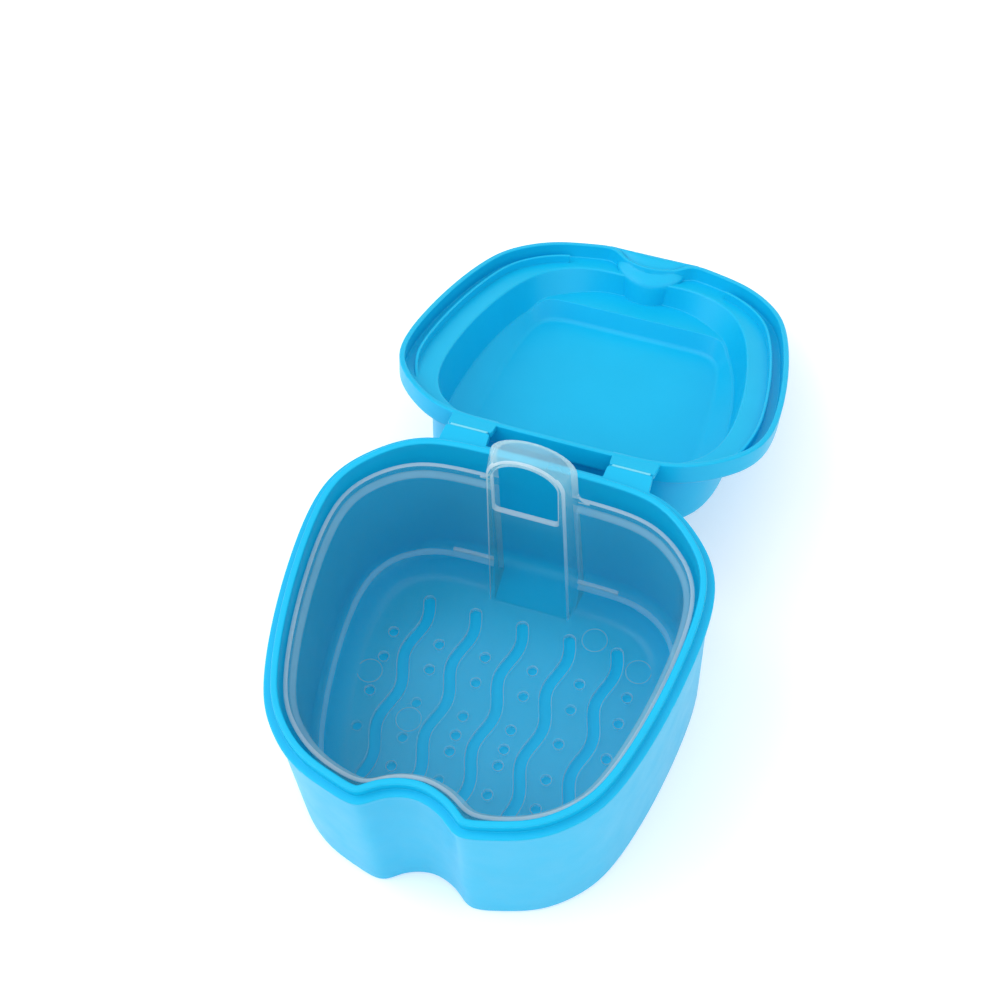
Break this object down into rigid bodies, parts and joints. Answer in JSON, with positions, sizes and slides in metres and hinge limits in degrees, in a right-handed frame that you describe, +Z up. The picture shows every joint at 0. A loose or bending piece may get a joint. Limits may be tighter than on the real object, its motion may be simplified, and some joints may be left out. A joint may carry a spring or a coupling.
{
  "type": "denture case",
  "caption": "Denture soaking case: notched tub with a living-hinged domed lid and a lift-out perforated strainer basket with a finger handle.",
  "frame": {"origin": "centre of the flat foot that the tub stands on", "axes": "+Z up out of the open tub, -Y towards the thumb scoop at the front, +Y towards the hinge and the opened lid, +X to the right seen from the front"},
  "size_m": [0.0938, 0.1834, 0.0642],
  "materials": {
    "case_blue": "satin moulded polypropylene, opaque sky blue",
    "hinge_web": "the same polypropylene, thin enough to look lighter",
    "basket_translucent": "satin natural polypropylene, milky and translucent"
  },
  "bodies": {
    "base": {"base_tub": "case_blue", "hinge_web_left": "hinge_web", "hinge_web_right": "hinge_web"},
    "lid": {"lid": "case_blue"},
    "basket": {"strainer_basket": "basket_translucent"}
  },
  "joints": [
    {"name": "lid_hinge", "type": "hinge", "parent": "base", "child": "lid", "pos_m": [0, 0.0494, 0.0468], "axis": [1, 0, 0], "range_deg": [0, 201.9], "deforming": ["hinge_web_left", "hinge_web_right"]},
    {"name": "basket_lift", "type": "slide", "parent": "base", "child": "basket", "axis": [0, 0, 1], "range_m": [0, 0.002]}
  ]
}
